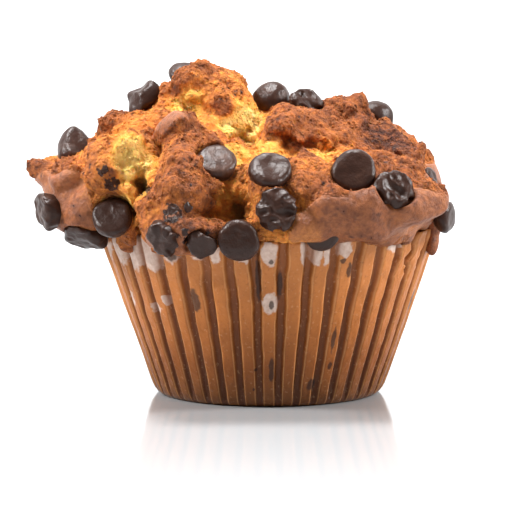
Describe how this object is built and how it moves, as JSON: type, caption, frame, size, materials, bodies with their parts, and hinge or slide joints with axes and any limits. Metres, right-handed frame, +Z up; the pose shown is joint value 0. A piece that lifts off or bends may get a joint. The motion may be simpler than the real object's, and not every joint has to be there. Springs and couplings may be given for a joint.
{
  "type": "chocolate chip muffin",
  "caption": "Chocolate chip muffin with a burst, cracked golden top, baked in a fluted paper case that it stands in.",
  "frame": {"origin": "centre of the paper case's flat underside, which the muffin stands on", "axes": "+Z up, -Y towards the front, which has the most chips and the deep crack, +X to the right seen from the front"},
  "size_m": [0.0945, 0.0914, 0.0755],
  "materials": {
    "paper": "greaseproof paper browned and soaked by the cake, dry and white at the rim",
    "crust": "baked cake, stands in as matte: brown skin, golden crumbly edges and pale yellow crumb in the cracks",
    "chocolate": "dark chocolate, satin, half melted and set again"
  },
  "bodies": {
    "root": {"paper_case": "paper", "cake": "crust", "chip_01": "chocolate", "chip_02": "chocolate", "chip_03": "chocolate", "chip_04": "chocolate", "chip_05": "chocolate", "chip_06": "chocolate", "chip_07": "chocolate", "chip_08": "chocolate", "chip_09": "chocolate", "chip_10": "chocolate", "chip_11": "chocolate", "chip_12": "chocolate", "chip_13": "chocolate", "chip_14": "chocolate", "chip_15": "chocolate", "chip_16": "chocolate", "chip_17": "chocolate", "chip_18": "chocolate", "chip_19": "chocolate", "chip_20": "chocolate", "chip_21": "chocolate", "chip_22": "chocolate", "chip_23": "chocolate", "chip_24": "chocolate", "chip_25": "chocolate", "chip_26": "chocolate", "chip_27": "chocolate", "chip_28": "chocolate", "chip_29": "chocolate", "chip_30": "chocolate", "chip_31": "chocolate", "chip_32": "chocolate", "chip_33": "chocolate", "chip_34": "chocolate"}
  },
  "joints": []
}
